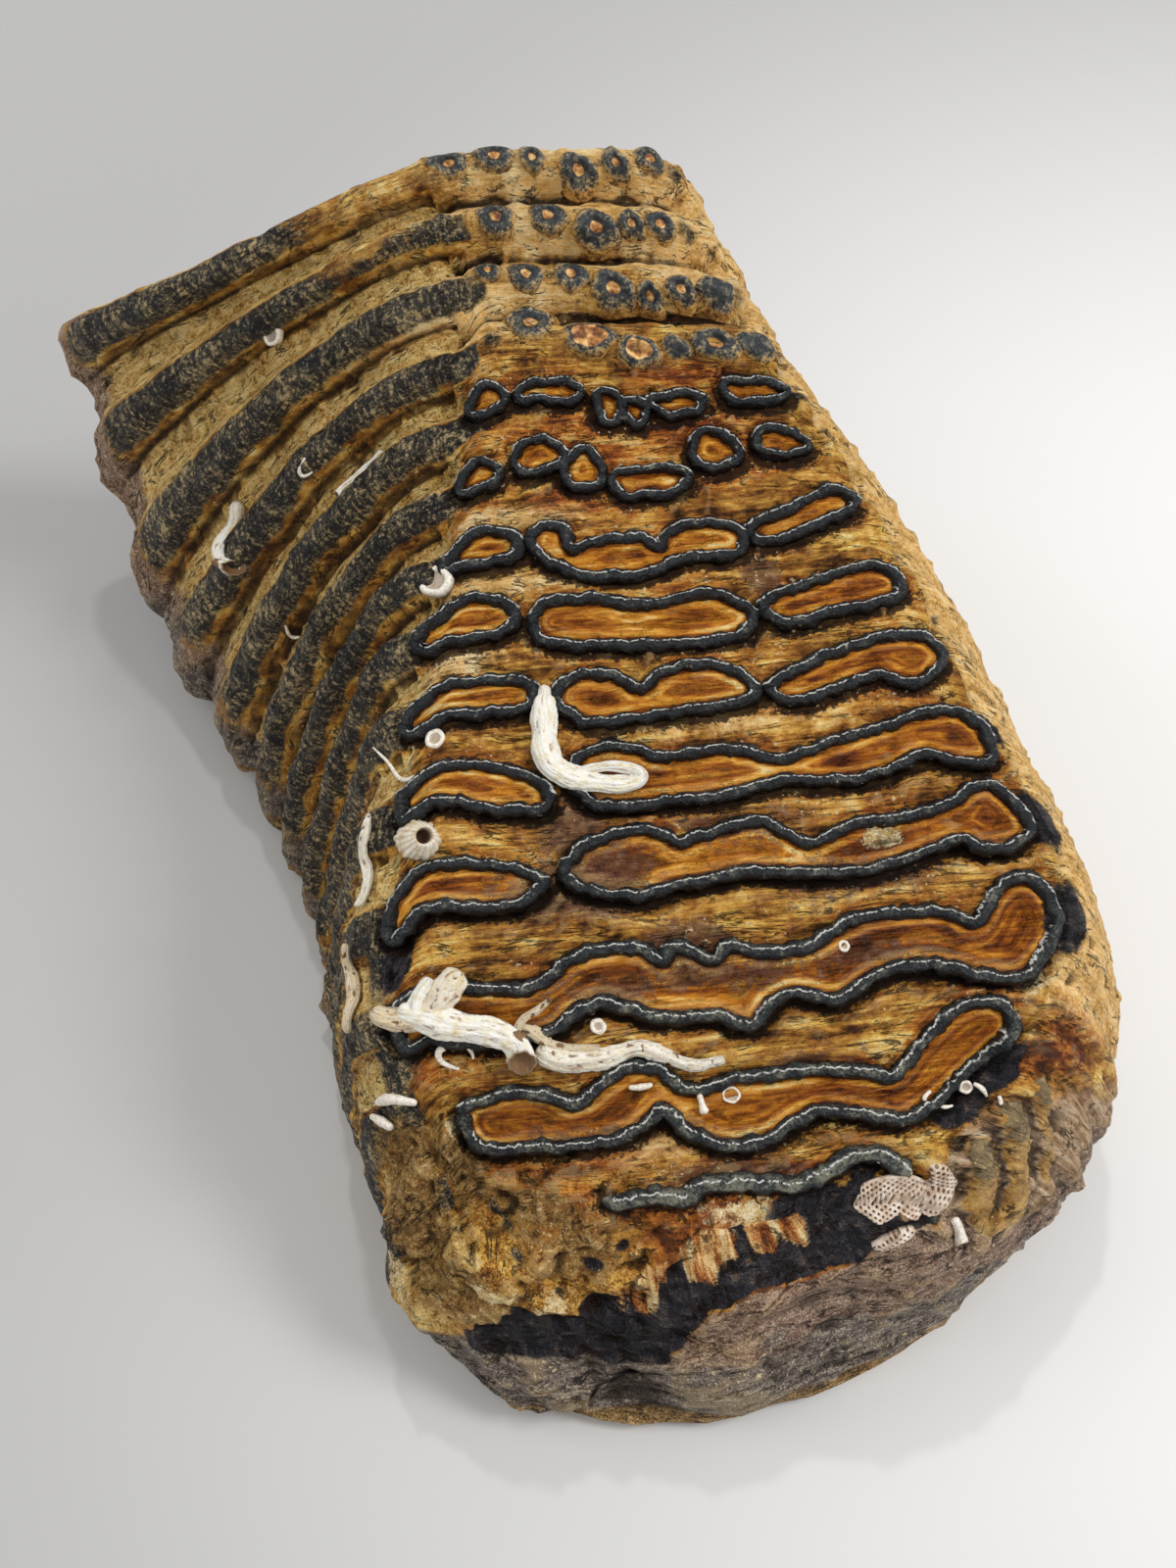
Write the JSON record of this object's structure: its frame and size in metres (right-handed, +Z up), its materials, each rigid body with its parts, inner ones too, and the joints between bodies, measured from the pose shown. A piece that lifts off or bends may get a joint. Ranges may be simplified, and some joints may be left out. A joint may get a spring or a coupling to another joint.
{
  "type": "fossil mammoth molar",
  "caption": "Worn fossil molar of a mammoth lying on its root base, with looped enamel plates, ridged flanks, worm tubes, a barnacle and a bryozoan crust.",
  "frame": {"origin": "on the surface that the tooth lies on, under the middle of its bounding box", "axes": "+Z up, -Y towards the worn front of the tooth, +Y towards its unworn back, +X towards the cementum-covered flank"},
  "size_m": [0.1544, 0.1608, 0.0859],
  "materials": {
    "tooth": "blue-black glossy enamel loops, amber dentine and golden tan, fibrous cementum",
    "worm_tube": "chalky white lime tube with growth rings",
    "barnacle_shell": "ribbed, slightly translucent white shell",
    "bryozoan": "pale, finely pitted lime mat"
  },
  "bodies": {
    "root": {"molar": "tooth", "hooked_worm_tube": "worm_tube", "worm_tube_cluster": "worm_tube", "long_worm_tube": "worm_tube", "flank_worm_tube": "worm_tube", "thin_worm_tube": "worm_tube", "edge_worm_tube_back": "worm_tube", "edge_worm_tube_front": "worm_tube", "barnacle": "barnacle_shell", "bryozoan_crust": "bryozoan"}
  },
  "joints": []
}
